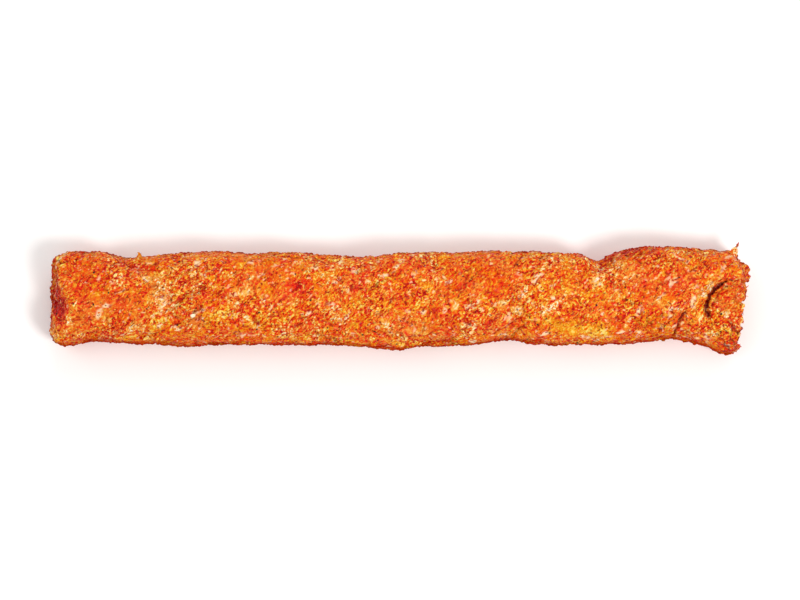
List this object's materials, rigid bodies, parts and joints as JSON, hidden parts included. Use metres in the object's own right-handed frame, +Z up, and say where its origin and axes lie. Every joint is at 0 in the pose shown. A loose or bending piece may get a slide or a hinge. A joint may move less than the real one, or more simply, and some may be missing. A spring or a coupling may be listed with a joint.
{
  "type": "raw kofta",
  "caption": "Long rolled strip of raw, spiced minced meat with a flat underside, one square end and one torn, flared end.",
  "frame": {"origin": "on the surface it lies on, under the middle of its outline", "axes": "+X along the strip towards the torn end, +Y across it, +Z up"},
  "size_m": [0.2, 0.0308, 0.02],
  "materials": {
    "minced_meat": "moist raw minced meat with paprika, flecked with pale fat"
  },
  "bodies": {
    "root": {"kofta": "minced_meat"}
  },
  "joints": []
}
